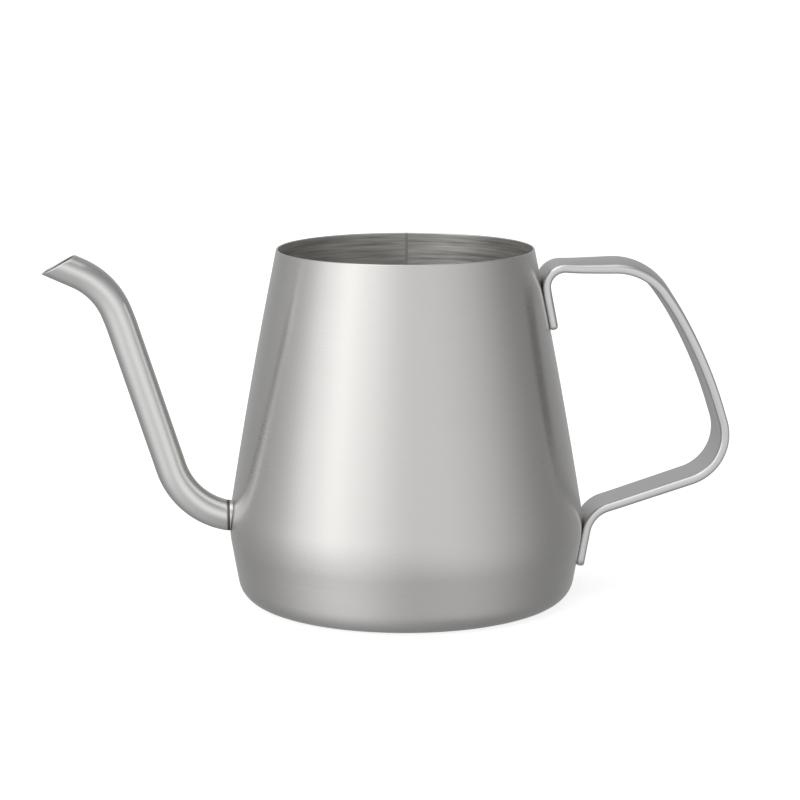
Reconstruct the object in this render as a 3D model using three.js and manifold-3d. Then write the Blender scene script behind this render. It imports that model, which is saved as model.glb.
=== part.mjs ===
// Open gooseneck kettle in stainless steel sheet, for pouring over coffee.
// Millimetres, +Z up. The origin is the middle of the flat base, on the body's axis.
// The spout points to -X and the handle to +X; both are centred on the plane Y = 0.

import * as THREE from 'three';
import { mergeVertices } from 'three/addons/utils/BufferGeometryUtils.js';
import Module from 'manifold-3d';

// Body: a rolled cone with a rounded crease low down, closed by a pressed pan.
const HEIGHT = 92;
const RIM_RADIUS = 33.25;
const BELLY_RADIUS = 46.5; // of the corner that the crease rounds off
const BELLY_Z = 20;
const CREASE_RADIUS = 30;
const CROWN_RADIUS = 1500; // the cone's side bows out very slightly
const CROWN_HEIGHT = 0.7; // how far its middle corner stands off a straight side
const FOOT_RADIUS = 43;
const FOOT_FILLET = 6.2;
const SHEET = 0.5;

// Joints: pieces that are welded to each other keep this clearance.
const GAP = 0.3;
const BEAD = 0.5; // height of the ground bead between body and base pan
const BEAD_Z = 7; // middle of that bead
const SEAM_WIDTH = 0.8; // bead that closes the rolled cone, at the back
const SEAM_TURN = 5; // degrees from +Y towards the handle

// Spout: one bent tube, butted against a short neck that passes through the wall.
const SPOUT_RADIUS = 4;
const SPOUT_SHEET = 0.5;
const SPOUT_CORNERS = [
  [-41.5, 22.05], [-56.9, 22.4, 19], [-73.4, 73.9, 57.5], [-77.2, 83.4, 18.4], [-96, 92],
];
const SPOUT_STEPS = 42;
const TIP = [-89, 88.8]; // where the tube's centreline meets the cut mouth
const TIP_SLOPE = 29; // degrees that the cut mouth falls towards the tip
const NECK_Z = 22.45;
const NECK_INNER_X = -44.4;
const NECK_OUTER_X = -46.7;
const WELD_RING_RADIUS = 0.28;

// Handle: one flat bar, bent in the plane Y = 0, with a tail down the wall at each end.
const BAR_EDGE = 0.55; // radius of its long edges
const UPPER_TAIL_Z = [70.9, 82];
const LOWER_TAIL_Z = [8.4, 14.5];
const HANDLE_TOP_Z = 87.3;
const HANDLE_ELBOW_Z = 22.4;
const HANDLE_BENDS = [[62.4, 88.1, 15.8], [77.2, 64.8, 110], [85.9, 34.5, 12.6]];
const UPPER_BEND_RADIUS = 4.9;
const LOWER_BEND_RADIUS = 7.7;
// Sizes at places along the bar, measured from its upper end: [distance, millimetres]. The bow is how
// far the long edges lie inside the loop from the middle of the bar's width.
const BAR_THICKNESSES = [[0, 2.1], [20, 2.2], [35, 2.5], [60, 2.4], [105, 2.35], [130, 2.2], [160, 2.1]];
const BAR_WIDTHS = [[0, 14.4], [20, 14.8], [35, 15.4], [75, 15.2], [105, 14.6], [130, 14], [160, 14]];
const BAR_BOWS = [
  [0, -0.7], [11, -0.7], [20, 0.9], [31, 1.4], [42, 1.3], [52, 0.7], [66, 0.6], [80, 0.3], [94, 0],
  [128, 0], [138, 0.4], [160, 0.4],
];

// Spot welds between the bar's tails and the wall.
const NUGGET_RADIUS = 2.2;
const NUGGET_HEIGHT = 0.5;
const UPPER_NUGGETS_Z = [74.5, 80.5];
const LOWER_NUGGETS_Z = [11, 15.5];

// Fineness of round shapes.
const BODY_SEGMENTS = 64;
const TUBE_SEGMENTS = 20;
const BEAD_SEGMENTS = 8;
const CHORD_ERROR = 0.03;
const BAR_STEP = 6; // longest stretch of the bar between two of its cross-sections
const EDGE_STEPS = 3;
const FACE_STEPS = 5;

// Cutters: how far one runs past what it cuts, and the side of a cube that trims a tube's end.
const OVERRUN = 3;
const TRIM_SIZE = 40;

const MERGE_DISTANCE = 1e-4;
const SLIVER_HEIGHT = 0.005; // cuts leave no triangle thinner than this

// Colour and roughness of each finish.
const BRUSHED_SHEET = { color: 0xc6c4c0, roughness: 0.36 };
const GROUND_WELD = { color: 0xb3b1ac, roughness: 0.45 };
const SATIN_TUBE = { color: 0xcac8c4, roughness: 0.28 };
const SATIN_BAR = { color: 0xc9c7c4, roughness: 0.32 };
const BARE_WELD = { color: 0x6f6a60, roughness: 0.5 };

const wasm = await Module();
wasm.setup();

const radians = THREE.MathUtils.degToRad;

// Planar paths

// The points of a path through [x, z, radius] corners, each rounded to its radius.
function roundedPath(corners) {
  const at = corners.map(([x, z]) => new THREE.Vector2(x, z));
  const points = [at[0]];
  for (let i = 1; i < corners.length - 1; i++) {
    const radius = corners[i][2];
    const into = at[i].clone().sub(at[i - 1]).normalize();
    const out = at[i + 1].clone().sub(at[i]).normalize();
    const turn = Math.atan2(into.cross(out), into.dot(out));
    const reach = radius * Math.tan(Math.abs(turn) / 2);
    const start = at[i].clone().addScaledVector(into, -reach);
    const toCentre = new THREE.Vector2(-into.y, into.x).multiplyScalar(Math.sign(turn) * radius);
    const centre = start.clone().add(toCentre);
    const steps = Math.ceil(Math.abs(turn) / (2 * Math.acos(1 - CHORD_ERROR / radius)));
    for (let k = 0; k <= steps; k++) {
      points.push(start.clone().rotateAround(centre, (turn * k) / steps));
    }
  }
  points.push(at.at(-1));
  return points;
}

// A path moved sideways: a positive distance is to the left of its direction.
function offsetPath(points, distance) {
  const normals = points.slice(1).map((point, i) => {
    const along = point.clone().sub(points[i]).normalize();
    return new THREE.Vector2(-along.y, along.x);
  });
  return points.map((point, i) => {
    const before = normals[Math.max(i - 1, 0)];
    const after = normals[Math.min(i, normals.length - 1)];
    const mitre = before.clone().add(after).divideScalar(1 + before.dot(after));
    return point.clone().addScaledVector(mitre, distance);
  });
}

// The stretch of a rising path that lies between two heights.
function between(points, low, high) {
  const kept = [];
  for (let i = 0; i < points.length; i++) {
    const here = points[i];
    const last = points[i - 1];
    for (const level of [low, high]) {
      if (last && last.y < level && level < here.y) {
        kept.push(last.clone().lerp(here, (level - last.y) / (here.y - last.y)));
      }
    }
    if (here.y >= low && here.y <= high) {
      kept.push(here);
    }
  }
  return kept;
}

// Body wall

const crownPoint = [
  (BELLY_RADIUS + RIM_RADIUS) / 2 + CROWN_HEIGHT,
  (BELLY_Z + HEIGHT) / 2,
  CROWN_RADIUS,
];
const wallOutside = roundedPath([
  [0, 0],
  [FOOT_RADIUS, 0, FOOT_FILLET],
  [BELLY_RADIUS, BELLY_Z, CREASE_RADIUS],
  crownPoint,
  [RIM_RADIUS, HEIGHT],
]);
const wallInside = offsetPath(wallOutside, SHEET);

// The outside of the wall at one height.
function wallPoint(z) {
  return between(wallOutside, z, z + 1)[0];
}

// The wall's unit normal between two heights, pointing away from the body.
function wallNormal(low, high) {
  const along = wallPoint(high).sub(wallPoint(low)).normalize();
  return new THREE.Vector2(along.y, -along.x);
}

// Solids

// A band of the body's sheet, from one height to another. A band from the very bottom is a closed pan.
function wallBand(low, high) {
  const outside = between(wallOutside, low, high);
  const inside = between(wallInside, low, high).reverse();
  const profile = [...outside, ...inside];
  if (profile[0].x > 0) {
    profile.push(profile[0]);
  }
  return new THREE.LatheGeometry(profile, BODY_SEGMENTS).rotateX(Math.PI / 2);
}

function toSolid(geometry) {
  const bare = geometry.clone();
  bare.deleteAttribute('normal');
  bare.deleteAttribute('uv');
  const merged = mergeVertices(bare, MERGE_DISTANCE);
  return new wasm.Manifold(new wasm.Mesh({
    numProp: 3,
    vertProperties: new Float32Array(merged.attributes.position.array),
    triVerts: new Uint32Array(merged.index.array),
  }));
}

function toGeometry(solid) {
  const { vertProperties, triVerts } = solid.getMesh();
  const geometry = new THREE.BufferGeometry();
  geometry.setAttribute('position', new THREE.BufferAttribute(vertProperties, 3));
  geometry.setIndex(new THREE.BufferAttribute(triVerts, 1));
  geometry.computeVertexNormals();
  return geometry;
}

// A cylinder along X, between two places on it.
function cylinderX(radius, from, to, z) {
  return new THREE.CylinderGeometry(radius, radius, Math.abs(to - from), TUBE_SEGMENTS)
    .rotateZ(Math.PI / 2)
    .translate((from + to) / 2, 0, z);
}

// A short cylinder that starts on a wall point and runs outward along the wall's normal.
function cylinderOffWall(radius, z, normal, start, height) {
  const middle = wallPoint(z).addScaledVector(normal, start + height / 2);
  return new THREE.CylinderGeometry(radius, radius, height, TUBE_SEGMENTS)
    .rotateZ(Math.atan2(normal.y, normal.x) - Math.PI / 2)
    .rotateX(Math.PI / 2)
    .translate(middle.x, 0, middle.y);
}

// A slab of one width that stands on the body's axis and runs out through the seam at the back.
function seamSlab(width) {
  const reach = BELLY_RADIUS + OVERRUN;
  return new THREE.BoxGeometry(width, reach, 2 * HEIGHT)
    .translate(0, reach / 2, HEIGHT / 2)
    .rotateZ(-radians(SEAM_TURN));
}

// The rolled cone as a full ring, before its seam and the spout's opening are cut.
function coneSolid() {
  return toSolid(wallBand(BEAD_Z + BEAD / 2 + GAP, HEIGHT));
}

function bodyShell() {
  const opening = cylinderX(SPOUT_RADIUS + GAP, NECK_INNER_X + OVERRUN, NECK_OUTER_X - OVERRUN, NECK_Z);
  const seamGap = seamSlab(SEAM_WIDTH + 2 * GAP);
  return toGeometry(coneSolid().subtract(toSolid(opening)).subtract(toSolid(seamGap)));
}

function bodySeamWeld() {
  return toGeometry(coneSolid().intersect(toSolid(seamSlab(SEAM_WIDTH))));
}

function basePan() {
  return wallBand(0, BEAD_Z - BEAD / 2 - GAP);
}

function baseSeamWeld() {
  return wallBand(BEAD_Z - BEAD / 2, BEAD_Z + BEAD / 2);
}

function spoutNeck() {
  const outer = toSolid(cylinderX(SPOUT_RADIUS, NECK_INNER_X, NECK_OUTER_X, NECK_Z));
  const boreRadius = SPOUT_RADIUS - SPOUT_SHEET;
  const bore = cylinderX(boreRadius, NECK_INNER_X + OVERRUN, NECK_OUTER_X - OVERRUN, NECK_Z);
  return toGeometry(outer.subtract(toSolid(bore)));
}

const weldRingX = NECK_OUTER_X - GAP - WELD_RING_RADIUS;

function spoutWeldRing() {
  const radius = SPOUT_RADIUS - WELD_RING_RADIUS / 2;
  return new THREE.TorusGeometry(radius, WELD_RING_RADIUS, BEAD_SEGMENTS, TUBE_SEGMENTS)
    .rotateY(Math.PI / 2)
    .translate(weldRingX, 0, NECK_Z);
}

function spoutTube() {
  const ring = new THREE.Shape().absarc(0, 0, SPOUT_RADIUS, 0, 2 * Math.PI);
  ring.holes.push(new THREE.Path().absarc(0, 0, SPOUT_RADIUS - SPOUT_SHEET, 0, 2 * Math.PI, true));
  const centreline = roundedPath(SPOUT_CORNERS).map(({ x, y }) => new THREE.Vector3(x, 0, y));
  const path = new THREE.CurvePath();
  for (let i = 1; i < centreline.length; i++) {
    path.add(new THREE.LineCurve3(centreline[i - 1], centreline[i]));
  }
  const tube = new THREE.ExtrudeGeometry(ring, {
    steps: SPOUT_STEPS,
    curveSegments: TUBE_SEGMENTS / 2,
    extrudePath: path,
  });
  const wallSide = new THREE.BoxGeometry(TRIM_SIZE, TRIM_SIZE, TRIM_SIZE)
    .translate(weldRingX - WELD_RING_RADIUS - GAP + TRIM_SIZE / 2, 0, NECK_Z);
  const beyondMouth = new THREE.BoxGeometry(TRIM_SIZE, TRIM_SIZE, TRIM_SIZE)
    .translate(0, 0, TRIM_SIZE / 2)
    .rotateY(-radians(TIP_SLOPE))
    .translate(TIP[0], 0, TIP[1]);
  return toGeometry(toSolid(tube).subtract(toSolid(wallSide)).subtract(toSolid(beyondMouth)));
}

// Handle bar

const upperNormal = wallNormal(...UPPER_TAIL_Z);
const lowerNormal = wallNormal(...LOWER_TAIL_Z);
const barStandoff = GAP + BAR_THICKNESSES[0][1] / 2;

// The bar's centreline, from the end of its upper tail to the end of its lower one.
function barCentreline() {
  const upperEnd = wallPoint(UPPER_TAIL_Z[0]).addScaledVector(upperNormal, barStandoff);
  const lowerEnd = wallPoint(LOWER_TAIL_Z[0]).addScaledVector(lowerNormal, barStandoff);
  const upperLean = (HANDLE_TOP_Z - upperEnd.y) * (upperNormal.y / upperNormal.x);
  const lowerLean = (HANDLE_ELBOW_Z - lowerEnd.y) * (lowerNormal.y / lowerNormal.x);
  return roundedPath([
    [upperEnd.x, upperEnd.y],
    [upperEnd.x - upperLean, HANDLE_TOP_Z, UPPER_BEND_RADIUS],
    ...HANDLE_BENDS,
    [lowerEnd.x - lowerLean, HANDLE_ELBOW_Z, LOWER_BEND_RADIUS],
    [lowerEnd.x, lowerEnd.y],
  ]);
}

// The same path with points no further apart than a step.
function divide(points, step) {
  const divided = [points[0]];
  for (let i = 1; i < points.length; i++) {
    const count = Math.ceil(points[i].distanceTo(points[i - 1]) / step);
    for (let k = 1; k <= count; k++) {
      divided.push(points[i - 1].clone().lerp(points[i], k / count));
    }
  }
  return divided;
}

// Reads a list of [distance, value] stations at one distance.
function valueAt(stations, distance) {
  const next = stations.findIndex(([place]) => place > distance);
  const [from, first] = stations[next - 1];
  const [to, last] = stations[next];
  return THREE.MathUtils.mapLinear(distance, from, to, first, last);
}

// The bar's cross-section as points (across, outward), clockwise from its outer face.
function barSection(width, thickness, bow) {
  const flat = width / 2 - BAR_EDGE;
  const tall = thickness / 2 - BAR_EDGE;
  const corners = [[flat, tall], [flat, -tall], [-flat, -tall], [-flat, tall]];
  const points = [];
  corners.forEach(([across, outward], i) => {
    const corner = new THREE.Vector2(across, outward);
    for (let k = 0; k <= EDGE_STEPS; k++) {
      const angle = (Math.PI / 2) * (1 - i - k / EDGE_STEPS);
      points.push(new THREE.Vector2(BAR_EDGE, 0).rotateAround(new THREE.Vector2(), angle).add(corner));
    }
    if (across * outward < 0) {
      const start = points.at(-1);
      const end = start.clone().setX(-across);
      for (let k = 1; k < FACE_STEPS; k++) {
        points.push(start.clone().lerp(end, k / FACE_STEPS));
      }
    }
  });
  for (const point of points) {
    point.y -= bow * ((2 * point.x) / width) ** 2;
  }
  return points;
}

// A closed body through rings of points, with a fan to the ring's middle at each end.
function loft(rings, firstMiddle, lastMiddle) {
  const size = rings[0].length;
  const last = (rings.length - 1) * size;
  const vertices = [...rings.flat(), firstMiddle, lastMiddle];
  const middle = vertices.length - 2;
  const faces = [];
  for (let k = 0; k < size; k++) {
    const next = (k + 1) % size;
    for (let from = 0; from < last; from += size) {
      faces.push(from + k, from + size + k, from + next);
      faces.push(from + next, from + size + k, from + size + next);
    }
    faces.push(middle, k, next);
    faces.push(middle + 1, last + next, last + k);
  }
  const geometry = new THREE.BufferGeometry().setFromPoints(vertices);
  geometry.setIndex(faces);
  return geometry;
}

function handleBar() {
  const centreline = divide(barCentreline(), BAR_STEP);
  const outside = offsetPath(centreline, 1);
  let distance = 0;
  const rings = centreline.map((centre, i) => {
    distance += i > 0 ? centre.distanceTo(centreline[i - 1]) : 0;
    const outward = outside[i].clone().sub(centre);
    const sizes = [BAR_WIDTHS, BAR_THICKNESSES, BAR_BOWS].map((stations) => valueAt(stations, distance));
    return barSection(...sizes).map((point) => {
      const at = centre.clone().addScaledVector(outward, point.y);
      return new THREE.Vector3(at.x, point.x, at.y);
    });
  });
  const [first, last] = [centreline[0], centreline.at(-1)].map(({ x, y }) => new THREE.Vector3(x, 0, y));
  const pockets = [
    ...UPPER_NUGGETS_Z.map((z) => nuggetPocket(z, upperNormal)),
    ...LOWER_NUGGETS_Z.map((z) => nuggetPocket(z, lowerNormal)),
  ];
  const bar = toSolid(loft(rings, first, last));
  const pocketed = pockets.reduce((solid, pocket) => solid.subtract(toSolid(pocket)), bar);
  return toGeometry(pocketed.setTolerance(SLIVER_HEIGHT));
}

// A spot weld is a button of metal let into the back of the bar's tail.
function nugget(z, normal) {
  return cylinderOffWall(NUGGET_RADIUS, z, normal, GAP, NUGGET_HEIGHT);
}

function nuggetPocket(z, normal) {
  return cylinderOffWall(NUGGET_RADIUS + GAP, z, normal, 0, NUGGET_HEIGHT + 2 * GAP);
}

// Assembly

const kettle = new THREE.Group();

function addPart(name, geometry, finish) {
  const mesh = new THREE.Mesh(geometry, new THREE.MeshStandardMaterial({ ...finish, metalness: 1 }));
  mesh.name = name;
  kettle.add(mesh);
}

addPart('body_shell', bodyShell(), BRUSHED_SHEET);
addPart('body_seam_weld', bodySeamWeld(), GROUND_WELD);
addPart('base_pan', basePan(), BRUSHED_SHEET);
addPart('base_seam_weld', baseSeamWeld(), GROUND_WELD);
addPart('spout_neck', spoutNeck(), SATIN_TUBE);
addPart('spout_weld_ring', spoutWeldRing(), BARE_WELD);
addPart('spout_tube', spoutTube(), SATIN_TUBE);
addPart('handle_bar', handleBar(), SATIN_BAR);
UPPER_NUGGETS_Z.forEach((z, i) => addPart(`upper_spot_weld_${i + 1}`, nugget(z, upperNormal), BARE_WELD));
LOWER_NUGGETS_Z.forEach((z, i) => addPart(`lower_spot_weld_${i + 1}`, nugget(z, lowerNormal), BARE_WELD));

export default kettle;
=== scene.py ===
import math

import bmesh
import bpy
from mathutils import Matrix, Vector


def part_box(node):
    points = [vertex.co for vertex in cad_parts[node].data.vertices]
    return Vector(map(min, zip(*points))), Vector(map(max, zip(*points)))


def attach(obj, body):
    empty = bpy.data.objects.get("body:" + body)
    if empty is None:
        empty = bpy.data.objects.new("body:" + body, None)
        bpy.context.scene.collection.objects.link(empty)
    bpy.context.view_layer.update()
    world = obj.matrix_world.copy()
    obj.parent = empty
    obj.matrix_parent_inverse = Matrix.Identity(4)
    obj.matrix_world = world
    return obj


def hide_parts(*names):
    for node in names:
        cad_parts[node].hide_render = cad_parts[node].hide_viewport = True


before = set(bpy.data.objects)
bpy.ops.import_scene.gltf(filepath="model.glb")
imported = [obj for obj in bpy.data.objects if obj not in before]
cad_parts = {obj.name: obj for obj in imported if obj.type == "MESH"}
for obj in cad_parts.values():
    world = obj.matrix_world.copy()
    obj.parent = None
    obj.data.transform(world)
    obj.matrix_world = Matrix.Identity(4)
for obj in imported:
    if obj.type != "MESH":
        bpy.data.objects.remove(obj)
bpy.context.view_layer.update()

# An open gooseneck kettle in stainless steel. Metres, +Z up, spout to -X, handle to +X.
# The body is a surface of revolution about Z, and spout and handle lie in the plane Y = 0.

MM = 0.001
TINY = 1e-7  # slack when two computed places are compared
MERGE_DISTANCE = 1e-8
SHARP_ANGLE = math.radians(40)  # a crease sharper than this isn't shaded smooth
LEAST_ARC_STEPS = 6
OUTSIDE, INSIDE = 0, 1  # places in a hollow piece's list of materials

# Body wall.
SHEET = 0.5 * MM
RIM_RADIUS = 33.25 * MM
BELLY_RADIUS = 46.5 * MM
BELLY_Z = 20 * MM
CREASE_ROUNDING = 30 * MM
CROWN_ROUNDING = 1500 * MM
CROWN_HEIGHT = 0.7 * MM
FOOT_RADIUS = 43 * MM
FOOT_ROUNDING = 6.2 * MM
WALL_STEP = 1.0 * MM
WALL_SEGMENTS = 192
SLOPE_DEPTH = 2.5 * WALL_STEP  # the wall's slope is read no nearer to the rim than this
RIM_STEPS = 8
RIM_JOIN = 0.1 * MM  # the sheet's sides stop this far below the rounded rim
OPENING_INSET = 0.1 * MM  # how much smaller than the neck the opening in the wall is
CUTTER_LENGTH = 10 * MM
WALL_FACING = 0.9  # cosine to the radius, under which a face belongs to an edge and not to the wall

# Ground seams: one up the back, and one round the base with a low bead inside.
SEAM_WIDTH = 0.8 * MM
SEAM_PROUD = 0.03 * MM
SEAM_TURN = math.radians(5)  # from straight back towards the handle
SEAM_STATIONS = 7
BEAD_PROUD = 0.15 * MM
BEAD_STEPS = 6

# Spout.
SPOUT_SHEET = 0.5 * MM
SPOUT_CORNERS = [
    (-41.5 * MM, 22.05 * MM, 0),
    (-56.9 * MM, 22.4 * MM, 19 * MM),
    (-73.4 * MM, 73.9 * MM, 57.5 * MM),
    (-77.2 * MM, 83.4 * MM, 18.4 * MM),
    (-96 * MM, 92 * MM, 0),
]
MOUTH_CENTRE = Vector((-89 * MM, 88.8 * MM))
MOUTH_SLOPE = math.radians(29)
LIP_RADIUS = SPOUT_SHEET / 2  # the rounded edge of the mouth
LIP_STEPS = 8
SPOUT_ROOT = 12 * MM  # the tube's square-cut end lies within this stretch of its centreline
SPOUT_EDGE = 0.15 * MM  # softened outer edge of that end
NECK_EDGE = 0.12 * MM
NECK_HOLD = 1.6 * NECK_EDGE  # a ring of points this far from the neck's end keeps its side even
EDGE_CUT = 0.3  # share of a softened edge where its middle point lies
TUBE_SEGMENTS = 64
TUBE_STEP = 0.7 * MM
TRACK_STEP = 0.25 * MM  # of the centrelines of spout and handle
HALVINGS = 40

# Bare weld between neck and spout.
NECK_STAND = 0.12 * MM
WELD_WIDTH = 0.6 * MM
WELD_PROUD = 0.05 * MM
WELD_SUNK = 0.02 * MM
WELD_STEPS = 6
WELD_RIPPLES = [(11, 0, 0.015 * MM), (23, 1, 0.01 * MM)]  # (waves round the tube, phase, height)

# Handle bar.
BAR_EDGE = 0.82 * MM  # radius of its long edges
UPPER_TAIL = (70.9 * MM, 82 * MM)
LOWER_TAIL = (8.4 * MM, 14.5 * MM)
HANDLE_TOP_Z = 87.3 * MM
HANDLE_ELBOW_Z = 22.4 * MM
HANDLE_BENDS = [
    (62.4 * MM, 88.1 * MM, 15.8 * MM),
    (77.2 * MM, 64.8 * MM, 110 * MM),
    (85.9 * MM, 34.5 * MM, 12.6 * MM),
]
UPPER_BEND = 4.9 * MM
LOWER_BEND = 7.7 * MM
UPPER_END_ROUNDING = 1.0 * MM
LOWER_END_ROUNDING = 1.6 * MM
END_STEPS = 8
END_THINNING = 0.8  # how far the bar's end thins down, as a share of its edge radius
BAR_STEP = 0.7 * MM
BAR_EDGE_STEPS = 6
BAR_FACE_STEPS = 14

# Sizes at places along the bar, from its upper end: (distance, millimetres). The bow is how far the
# long edges lie inside the loop from the middle of the bar's width.
BAR_THICKNESSES = [(0, 2.1), (20, 2.2), (35, 2.5), (60, 2.4), (105, 2.35), (130, 2.2), (160, 2.1)]
BAR_WIDTHS = [(0, 14.4), (20, 14.8), (35, 15.4), (75, 15.2), (105, 14.6), (130, 14), (160, 14)]
BAR_BOWS = [
    (0, -0.73), (11, -0.73), (20, 0.9), (31, 1.4), (42, 1.3), (52, 0.7), (66, 0.6), (80, 0.3), (94, 0),
    (128, 0), (138, 0.52), (160, 0.52),
]
BLEND_OFFSETS = [3.5 * k / 3 for k in range(-3, 4)]  # the sizes are averaged over these, in millimetres

# Spot welds.
NUGGET_DEPTH = 0.5 * MM
NUGGET_STEPS = 10
NUGGET_SEGMENTS = 32

# Camera.
CAMERA_AIM = Vector((-1.48 * MM, 0, 52.17 * MM))
CAMERA_DISTANCE = 720 * MM
CAMERA_ELEVATION = math.radians(10.33)
CAMERA_AZIMUTH = math.radians(-4.47)
CAMERA_ROLL = math.radians(-0.15)
CAMERA_LENS = 124.6
CAMERA_SENSOR = 36

# Floor and backdrop.
FLOOR_HALF = 6.0
FLOOR_DROP = 0.05 * MM
FLOOR_GREY = (0.62, 0.62, 0.62, 1)
FLOOR_GLOW = 0.72
BACKDROP = 1.2

# Colours of the steel, of the weld's heat tint, and a darkened bore colour that is painted shade inside
# the spout.
STEEL = (0.64, 0.633, 0.618)
STEEL_INSIDE = (0.68, 0.66, 0.63)
STEEL_SPOUT = (0.76, 0.752, 0.733)
STEEL_BAR = (0.70, 0.695, 0.685)
# Far darker than the steel's own colour: painted shade inside the spout's bore.
STEEL_BORE_PAINTED_SHADE = (0.3, 0.29, 0.275)
SEAM_SHADE = 0.82
STEEL_SEAM = tuple(SEAM_SHADE * c for c in STEEL)
WELD_TINT = (0.14, 0.125, 0.1)
COLOUR_SWING = 0.5  # how far scratches can darken or lighten a colour
LAYER_OFFSET = 7.3  # keeps the noise of one layer of scratches apart from the next
QUARTER_TURN = 0.25  # of the shader's grain direction, where 1 is a full turn


# Planar paths

def rounded_path(corners, step):
    """Points through (x, z, rounding) corners, none further apart than step."""
    at = [Vector((x, z)) for x, z, _ in corners]
    stops = [at[0]]
    for i in range(1, len(at) - 1):
        rounding = corners[i][2]
        into = (at[i] - at[i - 1]).normalized()
        out = (at[i + 1] - at[i]).normalized()
        turn = math.atan2(into.x * out.y - into.y * out.x, into.dot(out))
        start = at[i] - into * rounding * math.tan(abs(turn) / 2)
        side = Vector((-into.y, into.x)) * math.copysign(rounding, turn)
        centre = start + side
        count = max(LEAST_ARC_STEPS, math.ceil(abs(turn) * rounding / step))
        for k in range(count + 1):
            stops.append(centre + Matrix.Rotation(turn * k / count, 2) @ (start - centre))
    stops.append(at[-1])
    points = [stops[0]]
    for stop in stops[1:]:
        last = points[-1]
        count = max(1, math.ceil((stop - last).length / step - TINY))
        for k in range(1, count + 1):
            points.append(last.lerp(stop, k / count))
    return points


def path_normals(points):
    """The unit normal to the left of the path at each of its points."""
    normals = []
    for i in range(len(points)):
        along = points[min(i + 1, len(points) - 1)] - points[max(i - 1, 0)]
        along.normalize()
        normals.append(Vector((-along.y, along.x)))
    return normals


def between(points, low, high):
    """The stretch of a rising path from one height to another."""
    kept = []
    for last, here in zip(points, points[1:]):
        for level in (low, high):
            if last.y <= level < here.y:
                kept.append(last.lerp(here, (level - last.y) / (here.y - last.y)))
        if low < here.y < high:
            kept.append(here)
    kept.sort(key=lambda p: p.y)
    return kept


# Meshes

def new_object(name, vertices, faces, materials, face_materials=None, uv=None):
    """A piece from plain lists. uv gives one (u, v) for each vertex."""
    mesh = bpy.data.meshes.new(name)
    mesh.from_pydata([tuple(v) for v in vertices], [], faces)
    if face_materials:
        mesh.polygons.foreach_set("material_index", face_materials)
    if uv:
        layer = mesh.uv_layers.new(name="UVMap")
        for loop in mesh.loops:
            layer.data[loop.index].uv = uv[loop.vertex_index]
    obj = bpy.data.objects.new(name, mesh)
    bpy.context.scene.collection.objects.link(obj)
    for material in materials:
        mesh.materials.append(material)
    finish_mesh(mesh)
    return obj


def finish_mesh(mesh):
    """Outward faces, smooth shading, and sharp edges where the surface turns strongly."""
    work = bmesh.new()
    work.from_mesh(mesh)
    bmesh.ops.remove_doubles(work, verts=work.verts, dist=MERGE_DISTANCE)
    bmesh.ops.recalc_face_normals(work, faces=work.faces)
    for edge in work.edges:
        edge.smooth = len(edge.link_faces) == 2 and edge.calc_face_angle(0) < SHARP_ANGLE
    work.to_mesh(mesh)
    work.free()
    mesh.polygons.foreach_set("use_smooth", [True] * len(mesh.polygons))
    mesh.update()


def revolve(name, profile, materials, kinds, closed=True):
    """An outline of (radius, height) points turned about Z. If closed, its last point joins its first.
    kinds gives a material for each stretch of it."""
    vertices, faces, face_materials = [], [], []
    rows = []
    for point in profile:
        if point.x < TINY:
            rows.append([len(vertices)] * WALL_SEGMENTS)
            vertices.append((0, 0, point.y))
            continue
        rows.append(list(range(len(vertices), len(vertices) + WALL_SEGMENTS)))
        for k in range(WALL_SEGMENTS):
            angle = math.tau * k / WALL_SEGMENTS
            vertices.append((point.x * math.cos(angle), point.x * math.sin(angle), point.y))
    count = len(rows)
    for i in range(count if closed else count - 1):
        a, b = rows[i], rows[(i + 1) % count]
        for k in range(WALL_SEGMENTS):
            n = (k + 1) % WALL_SEGMENTS
            corners = [a[k], a[n], b[n], b[k]]
            corners = [c for j, c in enumerate(corners) if c != corners[j - 1]]
            faces.append(corners)
            face_materials.append(kinds[i])
    return new_object(name, vertices, faces, materials, face_materials)


def grid_piece(name, rings, materials, kinds=None, uv=None, looped=False):
    """A skin over closed rings of points. The last ring joins the first, or else both are capped.
    kinds gives a material for each stretch of a ring."""
    width = len(rings[0])
    vertices = [point for ring in rings for point in ring]
    faces, face_materials = [], []
    for i in range(len(rings) if looped else len(rings) - 1):
        a = i * width
        b = ((i + 1) % len(rings)) * width
        for k in range(width):
            n = (k + 1) % width
            faces.append((a + k, a + n, b + n, b + k))
            face_materials.append(kinds[k] if kinds else 0)
    if not looped:
        faces.append(tuple(range(width)))
        faces.append(tuple(range(len(vertices) - width, len(vertices))))
        face_materials += [0, 0]
    return new_object(name, vertices, faces, materials, face_materials, uv)


# Materials

class Nodes:
    """Builds one material's node tree."""

    def __init__(self, name):
        self.material = bpy.data.materials.new(name)
        self.material.use_nodes = True
        self.tree = self.material.node_tree
        self.shader = self.tree.nodes["Principled BSDF"]

    def add(self, kind, inputs=(), **settings):
        node = self.tree.nodes.new(kind)
        for key, value in settings.items():
            setattr(node, key, value)
        for key, value in dict(inputs).items():
            self.put(node.inputs[key], value)
        return node

    def put(self, socket, value):
        if isinstance(value, bpy.types.NodeSocket):
            self.tree.links.new(value, socket)
        else:
            socket.default_value = value

    def math(self, operation, *values):
        node = self.tree.nodes.new("ShaderNodeMath")
        node.operation = operation
        for socket, value in zip(node.inputs, values):
            self.put(socket, value)
        return node.outputs[0]

    def combine(self, x, y, z):
        return self.add("ShaderNodeCombineXYZ", {"X": x, "Y": y, "Z": z}).outputs[0]

    def noise(self, vector):
        inputs = {"Vector": vector, "Scale": 1.0, "Detail": 2.0, "Roughness": 0.5}
        return self.add("ShaderNodeTexNoise", inputs).outputs["Fac"]


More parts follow.
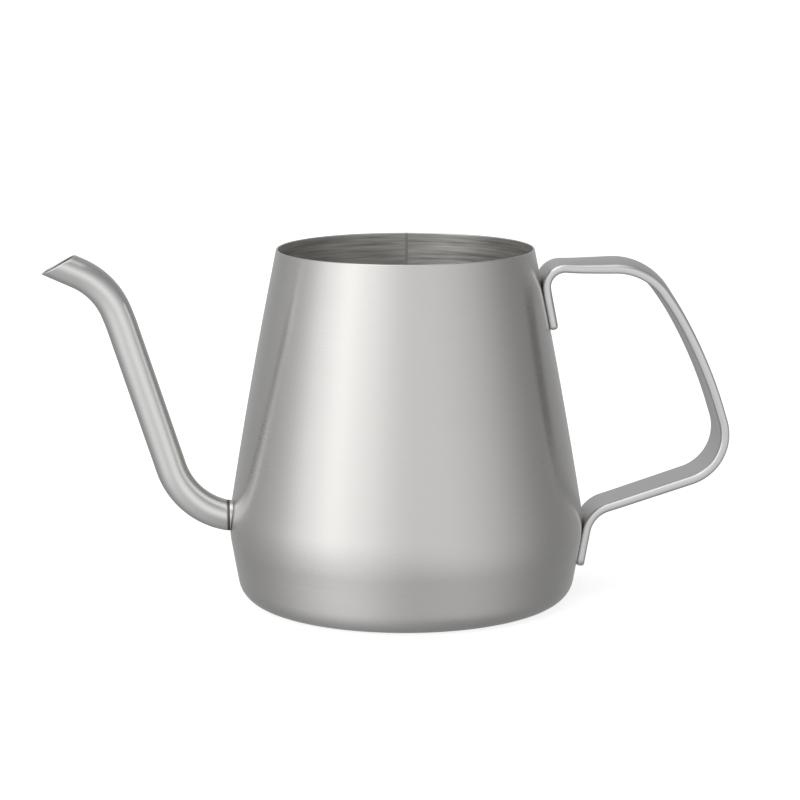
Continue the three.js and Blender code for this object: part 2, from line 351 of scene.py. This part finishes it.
def grain_round(nodes):
    """Distances along and across a grain that runs round the Z axis from the seam, in metres."""
    place = nodes.add("ShaderNodeTexCoord").outputs["Object"]
    turn = {"Vector": place, "Angle": SEAM_TURN}
    turned = nodes.add("ShaderNodeVectorRotate", turn, rotation_type="Z_AXIS").outputs[0]
    xyz = nodes.add("ShaderNodeSeparateXYZ", {"Vector": turned}).outputs
    front = nodes.math("MULTIPLY", xyz["Y"], -1.0)
    angle = nodes.math("ARCTAN2", xyz["X"], front)
    along = nodes.math("MULTIPLY", angle, BELLY_RADIUS)
    squares = [nodes.math("MULTIPLY", side, side) for side in (xyz["X"], front)]
    radius = nodes.math("SQRT", nodes.math("ADD", *squares))
    across = nodes.math("SUBTRACT", xyz["Z"], radius)
    return along, across


def grain_along(nodes):
    """Distances along and across a grain that runs along a bar or tube, in metres, from its UV map."""
    place = nodes.add("ShaderNodeTexCoord").outputs["UV"]
    xyz = nodes.add("ShaderNodeSeparateXYZ", {"Vector": place}).outputs
    return xyz["X"], xyz["Y"]


def scratches(nodes, along, across, lines):
    """The changes of colour, roughness and height that all layers of scratches make together."""
    totals = None
    for seed, (width, length, *changes) in enumerate(lines):
        vector = nodes.combine(
            nodes.math("DIVIDE", along, length), nodes.math("DIVIDE", across, width), LAYER_OFFSET * seed
        )
        swing = nodes.math("SUBTRACT", nodes.noise(vector), 0.5)
        parts = [nodes.math("MULTIPLY", swing, change) for change in changes]
        totals = [nodes.math("ADD", a, b) for a, b in zip(totals, parts)] if totals else parts
    return totals


def brushed(name, colour, roughness, anisotropy, grain, lines, tangent="RADIAL"):
    """Brushed steel. lines gives each layer of scratches as (width, length, colour change, roughness
    change, height)."""
    nodes = Nodes(name)
    tone, rough, height = scratches(nodes, *grain(nodes), lines)
    factor = nodes.math("ADD", 0.5, tone)
    low = tuple(c * (1 - COLOUR_SWING) for c in colour) + (1,)
    high = tuple(min(1.0, c * (1 + COLOUR_SWING)) for c in colour) + (1,)
    mix = nodes.add("ShaderNodeMix", data_type="RGBA")
    nodes.put(mix.inputs[0], factor)
    nodes.put(mix.inputs[6], low)
    nodes.put(mix.inputs[7], high)
    bump = nodes.add("ShaderNodeBump", {"Height": height, "Distance": 1.0, "Strength": 1.0})
    shader = nodes.shader
    nodes.put(shader.inputs["Base Color"], mix.outputs[2])
    nodes.put(shader.inputs["Roughness"], nodes.math("ADD", roughness, rough))
    nodes.put(shader.inputs["Normal"], bump.outputs[0])
    nodes.put(shader.inputs["Metallic"], 1.0)
    if anisotropy:
        nodes.put(shader.inputs["Anisotropic"], anisotropy)
        nodes.put(shader.inputs["Anisotropic Rotation"], QUARTER_TURN)
        direction = nodes.add("ShaderNodeTangent", direction_type=tangent)
        if tangent == "RADIAL":
            direction.axis = "Z"
        else:
            direction.uv_map = "UVMap"
        nodes.put(shader.inputs["Tangent"], direction.outputs[0])
    return nodes.material


sheet_outside = brushed(
    "brushed_sheet", STEEL, 0.29, 0.95, grain_round,
    [
        (0.09 * MM, 9 * MM, 0.09, 0.05, 0.0009 * MM),
        (0.45 * MM, 30 * MM, 0.05, 0.05, 0.002 * MM),
        (5 * MM, 120 * MM, 0.04, 0.05, 0),
        (14 * MM, 14 * MM, 0.03, 0.03, 0),
    ],
)
sheet_inside = brushed(
    "brushed_sheet_inside", STEEL_INSIDE, 0.45, 0.93, grain_round,
    [
        (0.2 * MM, 10 * MM, 0.6, 0.25, 0.004 * MM),
        (0.8 * MM, 26 * MM, 1.1, 0.35, 0.02 * MM),
        (4 * MM, 60 * MM, 0.25, 0.1, 0),
    ],
)
weld_ground = brushed(
    "ground_weld", STEEL_SEAM, 0.48, 0.85, grain_round,
    [
        (0.12 * MM, 3 * MM, 0.15, 0.12, 0.002 * MM),
        (1.0 * MM, 6 * MM, 0.10, 0.10, 0),
    ],
)
tube_satin = brushed(
    "satin_tube", STEEL_SPOUT, 0.2, 0.4, grain_along,
    [
        (0.08 * MM, 5 * MM, 0.08, 0.08, 0.0008 * MM),
        (1.5 * MM, 20 * MM, 0.02, 0.03, 0),
        (6 * MM, 8 * MM, 0.03, 0.03, 0),
    ],
    tangent="UV_MAP",
)
# The spout's bore is rougher, as unpolished steel, and its colour is darkened as painted shade inside the
# tube.
tube_bore_painted_shade = brushed(
    "satin_tube_bore", STEEL_BORE_PAINTED_SHADE, 0.45, 0.4, grain_along,
    [
        (0.15 * MM, 5 * MM, 0.15, 0.12, 0.001 * MM),
        (2 * MM, 9 * MM, 0.12, 0.1, 0),
    ],
    tangent="UV_MAP",
)
bar_satin = brushed(
    "satin_bar", STEEL_BAR, 0.3, 0.5, grain_along,
    [
        (0.09 * MM, 6 * MM, 0.10, 0.08, 0.001 * MM),
        (0.6 * MM, 25 * MM, 0.05, 0.05, 0.0015 * MM),
        (7 * MM, 10 * MM, 0.03, 0.03, 0),
    ],
    tangent="UV_MAP",
)
weld_bare = brushed(
    "bare_weld", WELD_TINT, 0.5, 0, grain_round,
    [
        (0.3 * MM, 0.3 * MM, 0.5, 0.2, 0.02 * MM),
        (1.4 * MM, 1.4 * MM, 0.4, 0.15, 0),
    ],
)


# Body

rim_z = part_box("body_shell")[1].z
seam_low, seam_high = (corner.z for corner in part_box("base_seam_weld"))


def wall_outline():
    """The wall's outside from the middle of its underside to the rim, and the matching inside."""
    crown = ((BELLY_RADIUS + RIM_RADIUS) / 2 + CROWN_HEIGHT, (BELLY_Z + rim_z) / 2, CROWN_ROUNDING)
    corners = [
        (0, 0, 0),
        (FOOT_RADIUS, 0, FOOT_ROUNDING),
        (BELLY_RADIUS, BELLY_Z, CREASE_ROUNDING),
        crown,
        (RIM_RADIUS, rim_z, 0),
    ]
    outside = rounded_path(corners, WALL_STEP)
    inside = [p + n * SHEET for p, n in zip(outside, path_normals(outside))]
    inside[0] = Vector((0, SHEET))
    return outside, inside


wall_out, wall_in = wall_outline()


def wall_at(z):
    """The outside of the wall at one height, and its outward normal."""
    here = between(wall_out, z, z + WALL_STEP)[0]
    ahead = between(wall_out, z + WALL_STEP / 2, z + 2 * WALL_STEP)[0]
    along = (ahead - here).normalized()
    return here, Vector((along.y, -along.x))


def rim_arc():
    """The rolled-over edge of the sheet at the rim, from outside to inside."""
    radius = SHEET / 2
    outer = between(wall_out, rim_z - radius, rim_z)[0]
    normal = wall_at(rim_z - SLOPE_DEPTH)[1]
    up = Vector((-normal.y, normal.x))
    centre = outer - normal * radius
    turns = [math.pi * k / RIM_STEPS for k in range(RIM_STEPS + 1)]
    return [centre + normal * radius * math.cos(turn) + up * radius * math.sin(turn) for turn in turns]


def shell_outline():
    """Outline of the cone's sheet, and the material of each stretch of it."""
    arc = rim_arc()
    outside = between(wall_out, seam_high, arc[0].y - RIM_JOIN)
    inside = between(wall_in, seam_high, arc[-1].y - RIM_JOIN)
    inside.reverse()
    outline = outside + arc + inside
    kinds = [OUTSIDE] * (len(outside) + len(arc) - 1) + [INSIDE] * len(inside) + [OUTSIDE]
    return outline, kinds


def cut_spout_opening(shell, radius, z):
    """Cuts the round opening behind the spout's neck through the sheet."""
    cutter_mesh = bpy.data.meshes.new("cutter")
    work = bmesh.new()
    turn = Matrix.Rotation(math.pi / 2, 4, "Y")
    place = Matrix.Translation((-BELLY_RADIUS, 0, z)) @ turn
    bmesh.ops.create_cone(
        work, cap_ends=True, segments=TUBE_SEGMENTS, radius1=radius, radius2=radius, depth=CUTTER_LENGTH,
        matrix=place,
    )
    work.to_mesh(cutter_mesh)
    work.free()
    cutter = bpy.data.objects.new("cutter", cutter_mesh)
    bpy.context.scene.collection.objects.link(cutter)
    modifier = shell.modifiers.new("opening", "BOOLEAN")
    modifier.operation = "DIFFERENCE"
    modifier.solver = "EXACT"
    modifier.object = cutter
    graph = bpy.context.evaluated_depsgraph_get()
    cut = bpy.data.meshes.new_from_object(shell.evaluated_get(graph))
    shell.modifiers.clear()
    shell.data = cut
    bpy.data.objects.remove(cutter)
    bpy.data.meshes.remove(cutter_mesh)
    finish_mesh(cut)


def set_wall_normals(mesh):
    """Gives the wall's faces the exact normals of the turned outline, so that the opening leaves no
    dents in the shading."""
    normals = [Vector((0, 0, 0))] * len(mesh.loops)
    slopes = {}
    for polygon in mesh.polygons:
        centre = polygon.center
        radius = math.hypot(centre.x, centre.y)
        if centre.z > rim_z - SHEET or centre.z < seam_high + TINY:
            continue
        radial = Vector((centre.x / radius, centre.y / radius, 0))
        facing = polygon.normal.dot(radial)
        if abs(facing) < WALL_FACING:
            continue
        for index in polygon.loop_indices:
            co = mesh.vertices[mesh.loops[index].vertex_index].co
            key = round(co.z, 6)
            if key not in slopes:
                slopes[key] = wall_at(min(max(co.z, seam_high), rim_z - SLOPE_DEPTH))[1]
            slope = slopes[key]
            reach = math.hypot(co.x, co.y)
            normal = Vector((slope.x * co.x / reach, slope.x * co.y / reach, slope.y))
            normals[index] = normal if facing > 0 else -normal
    mesh.normals_split_custom_set(normals)


neck_low, neck_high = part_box("spout_neck")
spout_radius = (neck_high.z - neck_low.z) / 2
neck_z = (neck_high.z + neck_low.z) / 2

shell_points, shell_kinds = shell_outline()
body = revolve("kettle_body", shell_points, [sheet_outside, sheet_inside], shell_kinds)
cut_spout_opening(body, spout_radius - OPENING_INSET, neck_z)
set_wall_normals(body.data)


def base_outline():
    """Outline of the base pan from its middle to its top and back, and the material of each stretch."""
    outside = [wall_out[0]] + [p for p in wall_out[1:] if p.y < seam_low - TINY]
    outside.append(between(wall_out, seam_low, seam_high)[0])
    inside = [p for p in wall_in if p.y < seam_low - TINY]
    inside.append(between(wall_in, seam_low, seam_high)[0])
    inside.reverse()
    kinds = [OUTSIDE] * len(outside) + [INSIDE] * (len(inside) - 1)
    return outside + inside, kinds


base_points, base_kinds = base_outline()
base = revolve("kettle_base", base_points, [sheet_outside, sheet_inside], base_kinds, closed=False)


def base_bead_outline():
    """The ground weld between base and cone: flush outside, a low bead inside."""
    outside = between(wall_out, seam_low, seam_high + TINY)
    inner_low = between(wall_in, seam_low, seam_high)[0]
    inner_high = between(wall_in, seam_high, seam_high + WALL_STEP)[0]
    inside = []
    for k in range(BEAD_STEPS + 1):
        point = inner_high.lerp(inner_low, k / BEAD_STEPS)
        bulge = math.sin(math.pi * k / BEAD_STEPS) * BEAD_PROUD
        inside.append(point - Vector((bulge, 0)))
    return outside + inside


bead_points = base_bead_outline()
base_bead = revolve("base_seam", bead_points, [sheet_outside], [OUTSIDE] * len(bead_points))


def back_seam():
    """The ground weld that closes the cone at the back, a hair proud of the sheet on both sides."""
    normals = path_normals(shell_points + [shell_points[0]])
    turn = Matrix.Rotation(-SEAM_TURN, 3, "Z")
    rings = []
    for k in range(SEAM_STATIONS):
        side = -1 + 2 * k / (SEAM_STATIONS - 1)
        rise = SEAM_PROUD * (1 - side * side)
        x = side * SEAM_WIDTH / 2
        ring = []
        for point, normal in zip(shell_points, normals):
            at = point - normal * rise
            ring.append(turn @ Vector((x, math.sqrt(at.x ** 2 - x ** 2), at.y)))
        rings.append(ring)
    return grid_piece("back_seam", rings, [weld_ground])


back = back_seam()


# Spout

def turned_about_x(name, profile, z, materials):
    """A closed outline of (x, radius) points turned about a line along X."""
    rings = []
    for k in range(TUBE_SEGMENTS):
        angle = math.tau * k / TUBE_SEGMENTS
        rings.append([(x, r * math.sin(angle), z + r * math.cos(angle)) for x, r in profile])
    around = math.tau * spout_radius / TUBE_SEGMENTS
    uv = [(x, k * around) for k in range(TUBE_SEGMENTS) for x, _ in profile]
    return grid_piece(name, rings, materials, uv=uv, looped=True)


wall_x = -wall_at(neck_z)[0].x
neck_end = wall_x - NECK_STAND
bore_radius = spout_radius - SPOUT_SHEET
neck_profile = [
    (neck_high.x, spout_radius),
    (neck_end + NECK_HOLD, spout_radius),
    (neck_end + NECK_EDGE, spout_radius),
    (neck_end + EDGE_CUT * NECK_EDGE, spout_radius - EDGE_CUT * NECK_EDGE),
    (neck_end, spout_radius - NECK_EDGE),
    (neck_end, bore_radius),
    (neck_high.x, bore_radius),
]
neck = turned_about_x("spout_neck_stub", neck_profile, neck_z, [tube_satin])


def weld_ring():
    """The bare weld between neck and tube: narrow, dark and slightly uneven."""
    rings = []
    for k in range(TUBE_SEGMENTS * 2):
        angle = math.tau * k / (TUBE_SEGMENTS * 2)
        ripple = sum(height * math.sin(waves * angle + phase) for waves, phase, height in WELD_RIPPLES)
        profile = []
        for j in range(WELD_STEPS + 1):
            t = j / WELD_STEPS
            crown = (WELD_PROUD + ripple) * math.sin(math.pi * t)
            profile.append((neck_end - t * WELD_WIDTH, spout_radius - WELD_SUNK + crown))
        profile += [(neck_end - WELD_WIDTH, bore_radius), (neck_end, bore_radius)]
        rings.append([(x, r * math.sin(angle), neck_z + r * math.cos(angle)) for x, r in profile])
    return grid_piece("spout_weld", rings, [weld_bare], looped=True)


ring_piece = weld_ring()


class Track:
    """A planar path measured by the distance along it."""

    def __init__(self, points):
        self.points = points
        self.normals = path_normals(points)
        self.reach = [0]
        for a, b in zip(points, points[1:]):
            self.reach.append(self.reach[-1] + (b - a).length)
        self.length = self.reach[-1]

    def at(self, distance):
        """Point and left normal at a distance."""
        low, high = 0, len(self.points) - 2
        while low < high:
            middle = (low + high + 1) // 2
            if self.reach[middle] <= distance:
                low = middle
            else:
                high = middle - 1
        t = (distance - self.reach[low]) / (self.reach[low + 1] - self.reach[low])
        point = self.points[low].lerp(self.points[low + 1], t)
        normal = self.normals[low].lerp(self.normals[low + 1], min(1, max(0, t))).normalized()
        return point, normal


spout_track = Track(rounded_path(SPOUT_CORNERS, TRACK_STEP))
mouth_normal = Vector((-math.sin(MOUTH_SLOPE), math.cos(MOUTH_SLOPE)))


def on_spout(distance, radius, angle):
    """A point of the spout, at an angle round its centreline."""
    centre, normal = spout_track.at(distance)
    at = centre + normal * radius * math.cos(angle)
    return Vector((at.x, radius * math.sin(angle), at.y))


def meets_plane(radius, angle, through, normal, low, high):
    """How far along the spout one of its lines crosses a plane."""
    for _ in range(HALVINGS):
        middle = (low + high) / 2
        at = on_spout(middle, radius, angle)
        if (Vector((at.x, at.z)) - through).dot(normal) < 0:
            low = middle
        else:
            high = middle
    return (low + high) / 2


def root_distance(radius, angle):
    """How far along the spout one of its lines starts, at the weld."""
    through = Vector((neck_end - WELD_WIDTH, 0))
    return meets_plane(radius, angle, through, Vector((-1, 0)), 0, SPOUT_ROOT)


def mouth_distance(radius, angle, inset):
    """How far along the spout one of its lines comes to an inset from the slanted mouth."""
    through = MOUTH_CENTRE - mouth_normal * inset
    return meets_plane(radius, angle, through, mouth_normal, spout_track.length / 2, spout_track.length)


def tube_line(radius, angle, count):
    """One line along the tube, from its root to where its lip starts, as (distance, radius) points."""
    first = root_distance(radius, angle)
    last = mouth_distance(radius, angle, LIP_RADIUS)
    return [(first + (last - first) * j / count, radius) for j in range(count + 1)]


def spout_tube():
    """The bent tube: square-cut against the weld, slanted at the mouth, with a rounded lip."""
    count = round(spout_track.length / TUBE_STEP)
    columns, uv = [], []
    for k in range(TUBE_SEGMENTS):
        angle = math.tau * k / TUBE_SEGMENTS
        outer = tube_line(spout_radius, angle, count)
        start = outer[0][0]
        column = [
            (start, spout_radius - SPOUT_EDGE),
            (start + EDGE_CUT * SPOUT_EDGE, spout_radius - EDGE_CUT * SPOUT_EDGE),
            (start + SPOUT_EDGE, spout_radius),
        ]
        column += outer[1:]
        for j in range(1, LIP_STEPS):
            turn = math.pi * j / LIP_STEPS
            radius = spout_radius - LIP_RADIUS + LIP_RADIUS * math.cos(turn)
            column.append((mouth_distance(radius, angle, LIP_RADIUS * (1 - math.sin(turn))), radius))
        column += reversed(tube_line(bore_radius, angle, count))
        columns.append([on_spout(distance, radius, angle) for distance, radius in column])
        uv += [(distance, angle * spout_radius) for distance, radius in column]
    # The bore's faces take the darkened material: painted shade inside the tube.
    kinds = [OUTSIDE] * (len(columns[0]) - count - 1) + [INSIDE] * count + [OUTSIDE]
    return grid_piece("spout", columns, [tube_satin, tube_bore_painted_shade], kinds, uv, looped=True)


spout = spout_tube()


# Handle

tail_standoff = BAR_THICKNESSES[0][1] / 2 * MM


def tail_normal(low, high):
    """The wall's outward normal behind a tail."""
    along = (wall_at(high)[0] - wall_at(low)[0]).normalized()
    return Vector((along.y, -along.x))


upper_normal = tail_normal(*UPPER_TAIL)
lower_normal = tail_normal(*LOWER_TAIL)


def bar_track():
    """The bar's centreline, from the end of its upper tail to the end of its lower one."""
    upper = wall_at(UPPER_TAIL[0])[0] + upper_normal * tail_standoff
    lower = wall_at(LOWER_TAIL[0])[0] + lower_normal * tail_standoff
    upper_lean = (HANDLE_TOP_Z - upper.y) * upper_normal.y / upper_normal.x
    lower_lean = (HANDLE_ELBOW_Z - lower.y) * lower_normal.y / lower_normal.x
    corners = [
        (upper.x, upper.y, 0),
        (upper.x - upper_lean, HANDLE_TOP_Z, UPPER_BEND),
        *HANDLE_BENDS,
        (lower.x - lower_lean, HANDLE_ELBOW_Z, LOWER_BEND),
        (lower.x, lower.y, 0),
    ]
    return Track(rounded_path(corners, TRACK_STEP))


def size_at(stations, place):
    """The size that a list of (place, size) stations gives at one place, all in millimetres."""
    for (start, first), (end, last) in zip(stations, stations[1:]):
        if place <= end:
            return first + (last - first) * (place - start) / (end - start)
    return stations[-1][1]


def bar_size(stations, distance):
    """The size at a distance along the bar, averaged over a short stretch so that it changes smoothly."""
    sizes = [size_at(stations, max(0, distance / MM + offset)) for offset in BLEND_OFFSETS]
    return sum(sizes) / len(sizes) * MM


def bar_section(half_width, half_thickness):
    """The flat cross-section as (across, outward) points, clockwise from its outer face."""
    flat = half_width - BAR_EDGE
    tall = half_thickness - BAR_EDGE
    points = []
    for i, (across, out) in enumerate(((flat, tall), (flat, -tall), (-flat, -tall), (-flat, tall))):
        for k in range(BAR_EDGE_STEPS + 1):
            turn = math.pi / 2 * (1 - i - k / BAR_EDGE_STEPS)
            points.append((across + BAR_EDGE * math.cos(turn), out + BAR_EDGE * math.sin(turn)))
        if across * out < 0:
            face = points[-1][1]
            for k in range(1, BAR_FACE_STEPS):
                points.append((across * (1 - 2 * k / BAR_FACE_STEPS), face))
    return points


def rounded_off(rounding, to_end):
    """How far a rounded end has drawn in, at a distance from that end."""
    return rounding * (1 - math.sqrt(1 - max(0, 1 - to_end / rounding) ** 2))


def bar_distances(length):
    """Where the bar has a cross-section: evenly along it, and closer together at its rounded ends."""
    first, last = UPPER_END_ROUNDING, LOWER_END_ROUNDING
    middle = length - first - last
    count = round(length / BAR_STEP)
    ease = [1 - math.cos(math.pi / 2 * k / END_STEPS) for k in range(END_STEPS + 1)]
    distances = [first * e for e in ease]
    distances += [first + middle * k / count for k in range(1, count)]
    distances += [length - last * e for e in reversed(ease)]
    return distances


def bar_ring(track, distance):
    """The bar's cross-section at a distance along it, and how far along and around each point lies."""
    centre, normal = track.at(distance)
    upper = distance < track.length / 2
    to_end = distance if upper else track.length - distance
    rounding = UPPER_END_ROUNDING if upper else LOWER_END_ROUNDING
    half_width = bar_size(BAR_WIDTHS, distance) / 2
    half_thickness = bar_size(BAR_THICKNESSES, distance) / 2
    bow = bar_size(BAR_BOWS, distance)
    narrow = 1 - rounded_off(rounding, to_end) / half_width
    thin = 1 - END_THINNING * rounded_off(BAR_EDGE, to_end) / half_thickness
    section = bar_section(half_width, half_thickness)
    ring, uv = [], []
    around = 0
    for i, (across, out) in enumerate(section):
        side = across * narrow
        at = centre + normal * (out * thin - bow * (side / half_width) ** 2)
        ring.append((at.x, side, at.y))
        if i:
            around += math.dist(section[i], section[i - 1])
        uv.append((distance, around))
    return ring, uv


def handle():
    """The flat bar, swept along its centreline with changing sizes and rounded ends."""
    track = bar_track()
    rings, uv = [], []
    for distance in bar_distances(track.length):
        ring, places = bar_ring(track, distance)
        rings.append(ring)
        uv += places
    return grid_piece("handle", rings, [bar_satin], uv=uv)


bar = handle()


# Spot welds

def spot_weld(name, node, normal):
    """A lens of fused metal half in the wall and half in the bar."""
    low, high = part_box(node)
    z = (low.z + high.z) / 2
    radius = (high.y - low.y) / 2
    centre, _ = wall_at(z)
    middle = Vector((centre.x, 0, centre.y))
    out = Vector((normal.x, 0, normal.y))
    up = Vector((-normal.y, 0, normal.x))
    rings = []
    for k in range(1, NUGGET_STEPS):
        turn = math.pi * k / NUGGET_STEPS
        spread = radius * math.sin(turn)
        ring = []
        for j in range(NUGGET_SEGMENTS):
            angle = math.tau * j / NUGGET_SEGMENTS
            ring.append(
                middle
                + out * NUGGET_DEPTH / 2 * math.cos(turn)
                + up * spread * math.cos(angle)
                + Vector((0, 1, 0)) * spread * math.sin(angle)
            )
        rings.append(ring)
    return grid_piece(name, rings, [weld_bare])


nuggets = []
for side, normal in (("upper", upper_normal), ("lower", lower_normal)):
    for number in (1, 2):
        node = f"{side}_spot_weld_{number}"
        nuggets.append((spot_weld(f"{side}_nugget_{number}", node, normal), node))


# Floor, light and camera

def floor_material():
    """A pale grey that the camera sees lifted towards white."""
    nodes = Nodes("floor")
    tree = nodes.tree
    tree.nodes.remove(nodes.shader)
    output = tree.nodes["Material Output"]
    diffuse = nodes.add("ShaderNodeBsdfDiffuse", {"Color": FLOOR_GREY})
    glow = nodes.add("ShaderNodeEmission", {"Color": (1, 1, 1, 1), "Strength": FLOOR_GLOW})
    both = nodes.add("ShaderNodeAddShader")
    tree.links.new(diffuse.outputs[0], both.inputs[0])
    tree.links.new(glow.outputs[0], both.inputs[1])
    seen = nodes.add("ShaderNodeLightPath").outputs["Is Camera Ray"]
    pick = nodes.add("ShaderNodeMixShader")
    tree.links.new(seen, pick.inputs[0])
    tree.links.new(diffuse.outputs[0], pick.inputs[1])
    tree.links.new(both.outputs[0], pick.inputs[2])
    tree.links.new(pick.outputs[0], output.inputs["Surface"])
    return nodes.material


def make_floor():
    signs = ((-1, -1), (1, -1), (1, 1), (-1, 1))
    vertices = [(x * FLOOR_HALF, y * FLOOR_HALF, -FLOOR_DROP) for x, y in signs]
    return new_object("floor", vertices, [(0, 1, 2, 3)], [floor_material()])


floor = make_floor()
floor.visible_glossy = False

# The studio: an even grey surround with soft lobes of light, as (azimuth, elevation, strength, power).
# Azimuth 0 is the direction from the kettle to the camera's side, and 90 is the handle's side.
SURROUND = 0.31
LOBES = [
    (-55, 10, 0.52, 50.0),
    (-41, 15, 1.02, 4.0),
    (-75, 10, 0.42, 30.0),
    (-100, 20, 0.35, 6.0),
    (-62, 62, 1.15, 12.0),
    (15, 5, 0.35, 10.0),
    (42, 0, 0.5, 4.5),
    (180, 15, 0.2, 3.0),
    (-56, -42, 0.28, 3.7),
    (0, 90, 0.25, 8.0),
]


def direction_to(azimuth, elevation):
    """The unit vector from the kettle towards a place in the studio."""
    level = math.cos(elevation)
    return Vector((math.sin(azimuth) * level, -math.cos(azimuth) * level, math.sin(elevation)))


def studio():
    """The world: the lobes light the kettle, and the camera sees plain white behind it."""
    world = bpy.data.worlds.new("studio")
    bpy.context.scene.world = world
    world.use_nodes = True
    tree = world.node_tree
    background = tree.nodes["Background"]
    direction = tree.nodes.new("ShaderNodeTexCoord").outputs["Generated"]

    def calc(operation, a, b):
        node = tree.nodes.new("ShaderNodeMath")
        node.operation = operation
        for socket, value in zip(node.inputs, (a, b)):
            if isinstance(value, bpy.types.NodeSocket):
                tree.links.new(value, socket)
            else:
                socket.default_value = value
        return node.outputs[0]

    total = None
    for azimuth, elevation, strength, power in LOBES:
        towards = direction_to(math.radians(azimuth), math.radians(elevation))
        dot = tree.nodes.new("ShaderNodeVectorMath")
        dot.operation = "DOT_PRODUCT"
        tree.links.new(direction, dot.inputs[0])
        dot.inputs[1].default_value = towards
        facing = calc("MAXIMUM", dot.outputs["Value"], 0.0)
        lobe = calc("MULTIPLY", calc("POWER", facing, power), strength)
        total = calc("ADD", lobe, SURROUND if total is None else total)
    light = tree.nodes.new("ShaderNodeCombineColor")
    for socket in light.inputs:
        tree.links.new(total, socket)
    tree.links.new(light.outputs[0], background.inputs["Color"])
    white = tree.nodes.new("ShaderNodeBackground")
    white.inputs["Color"].default_value = (BACKDROP, BACKDROP, BACKDROP, 1)
    seen = tree.nodes.new("ShaderNodeLightPath").outputs["Is Camera Ray"]
    pick = tree.nodes.new("ShaderNodeMixShader")
    tree.links.new(seen, pick.inputs[0])
    tree.links.new(background.outputs[0], pick.inputs[1])
    tree.links.new(white.outputs[0], pick.inputs[2])
    tree.links.new(pick.outputs[0], tree.nodes["World Output"].inputs["Surface"])


studio()


def area_light(name, azimuth, elevation, distance, size, power):
    """A soft rectangular lamp aimed at the kettle. Angles are in degrees."""
    data = bpy.data.lights.new(name, "AREA")
    data.shape = "RECTANGLE"
    data.size, data.size_y = size
    data.energy = power
    light = bpy.data.objects.new(name, data)
    back = direction_to(math.radians(azimuth), math.radians(elevation))
    light.location = back * distance
    light.rotation_mode = "QUATERNION"
    light.rotation_quaternion = (-back).to_track_quat("-Z", "Y")
    bpy.context.scene.collection.objects.link(light)


area_light("top_softbox", azimuth=-20, elevation=75, distance=1.6, size=(1.6, 1.2), power=3)


def make_camera():
    data = bpy.data.cameras.new("camera")
    data.lens = CAMERA_LENS
    data.sensor_width = CAMERA_SENSOR
    camera = bpy.data.objects.new("camera", data)
    bpy.context.scene.collection.objects.link(camera)
    back = direction_to(CAMERA_AZIMUTH, CAMERA_ELEVATION)
    camera.location = CAMERA_AIM + back * CAMERA_DISTANCE
    camera.rotation_mode = "QUATERNION"
    roll = Matrix.Rotation(CAMERA_ROLL, 4, "Z").to_quaternion()
    camera.rotation_quaternion = (-back).to_track_quat("-Z", "Y") @ roll
    data.clip_start = 0.01
    data.clip_end = 100
    bpy.context.scene.camera = camera


make_camera()
bpy.context.scene.view_settings.view_transform = "Standard"

# Pieces

for piece, slot, nodes in (
    (body, "brushed_sheet", ["body_shell"]),
    (base, "brushed_sheet", ["base_pan"]),
    (base_bead, "ground_weld", ["base_seam_weld"]),
    (back, "ground_weld", ["body_seam_weld"]),
    (neck, "satin_tube", ["spout_neck"]),
    (ring_piece, "bare_weld", ["spout_weld_ring"]),
    (spout, "satin_tube", ["spout_tube"]),
    (bar, "satin_bar", ["handle_bar"]),
    *((nugget, "bare_weld", [node]) for nugget, node in nuggets),
):
    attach(piece, "root")
    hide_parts(*nodes)
